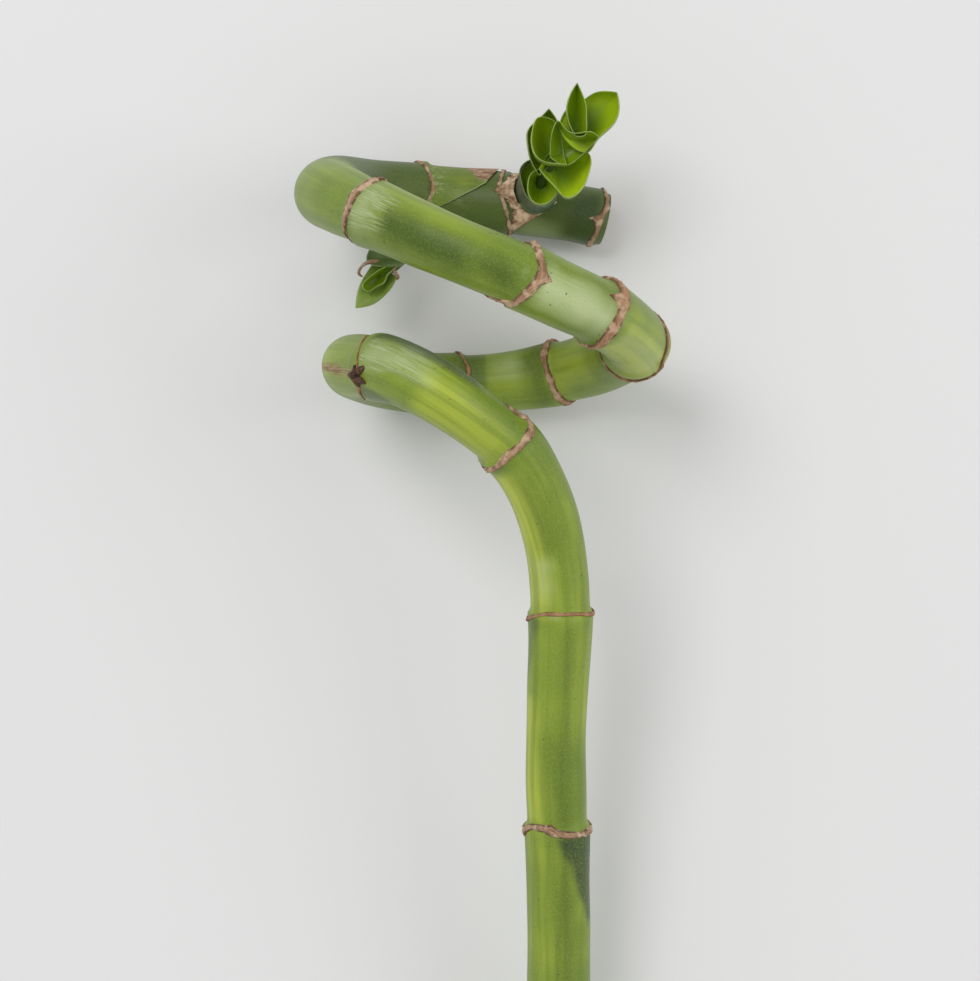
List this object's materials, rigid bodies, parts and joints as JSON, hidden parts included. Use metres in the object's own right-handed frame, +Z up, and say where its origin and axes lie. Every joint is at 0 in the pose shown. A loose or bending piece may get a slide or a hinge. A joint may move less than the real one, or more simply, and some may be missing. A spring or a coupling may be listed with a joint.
{
  "type": "lucky bamboo",
  "caption": "Cut curly lucky bamboo cane wound into an open coil, with dry leaf collars, a leafy top shoot and a small side bud; lies flat as decoration",
  "frame": {"origin": "centre of the bounding box on the surface the cane lies on", "axes": "+X across the coil, +Y along the cane from its cut base to its leafy end, +Z up from the surface"},
  "size_m": [0.0958, 0.319, 0.0944],
  "materials": {
    "cane": "satin living green skin with fine lengthwise fibres",
    "dry_sheath": "dry tan fibrous leaf sheath, matt",
    "dry_bud": "dark brown shrivelled bud, matt",
    "leaf": "waxy bright green leaf with pale rims"
  },
  "bodies": {
    "root": {"stem": "cane", "sheath_collar_01": "dry_sheath", "sheath_collar_02": "dry_sheath", "sheath_collar_03": "dry_sheath", "sheath_collar_04": "dry_sheath", "sheath_collar_05": "dry_sheath", "sheath_collar_06": "dry_sheath", "sheath_collar_07": "dry_sheath", "sheath_collar_08": "dry_sheath", "sheath_collar_09": "dry_sheath", "sheath_collar_10": "dry_sheath", "sheath_collar_11": "dry_sheath", "sheath_collar_12": "dry_sheath", "sheath_collar_13": "dry_sheath", "sheath_collar_14": "dry_sheath", "sheath_collar_15": "dry_sheath", "sheath_remnant": "cane", "dried_bud": "dry_bud", "top_stalk": "leaf", "side_stalk": "leaf", "base_bract": "leaf", "leaf_lower_left": "leaf", "leaf_outer_left": "leaf", "leaf_lower_right": "leaf", "leaf_left_cup": "leaf", "leaf_middle": "leaf", "leaf_pointed": "leaf", "leaf_top_cup": "leaf", "side_husk": "leaf", "side_leaf_small": "leaf", "side_leaf_main": "leaf", "side_dry_bract_left": "dry_sheath", "side_dry_bract_right": "dry_sheath"}
  },
  "joints": []
}
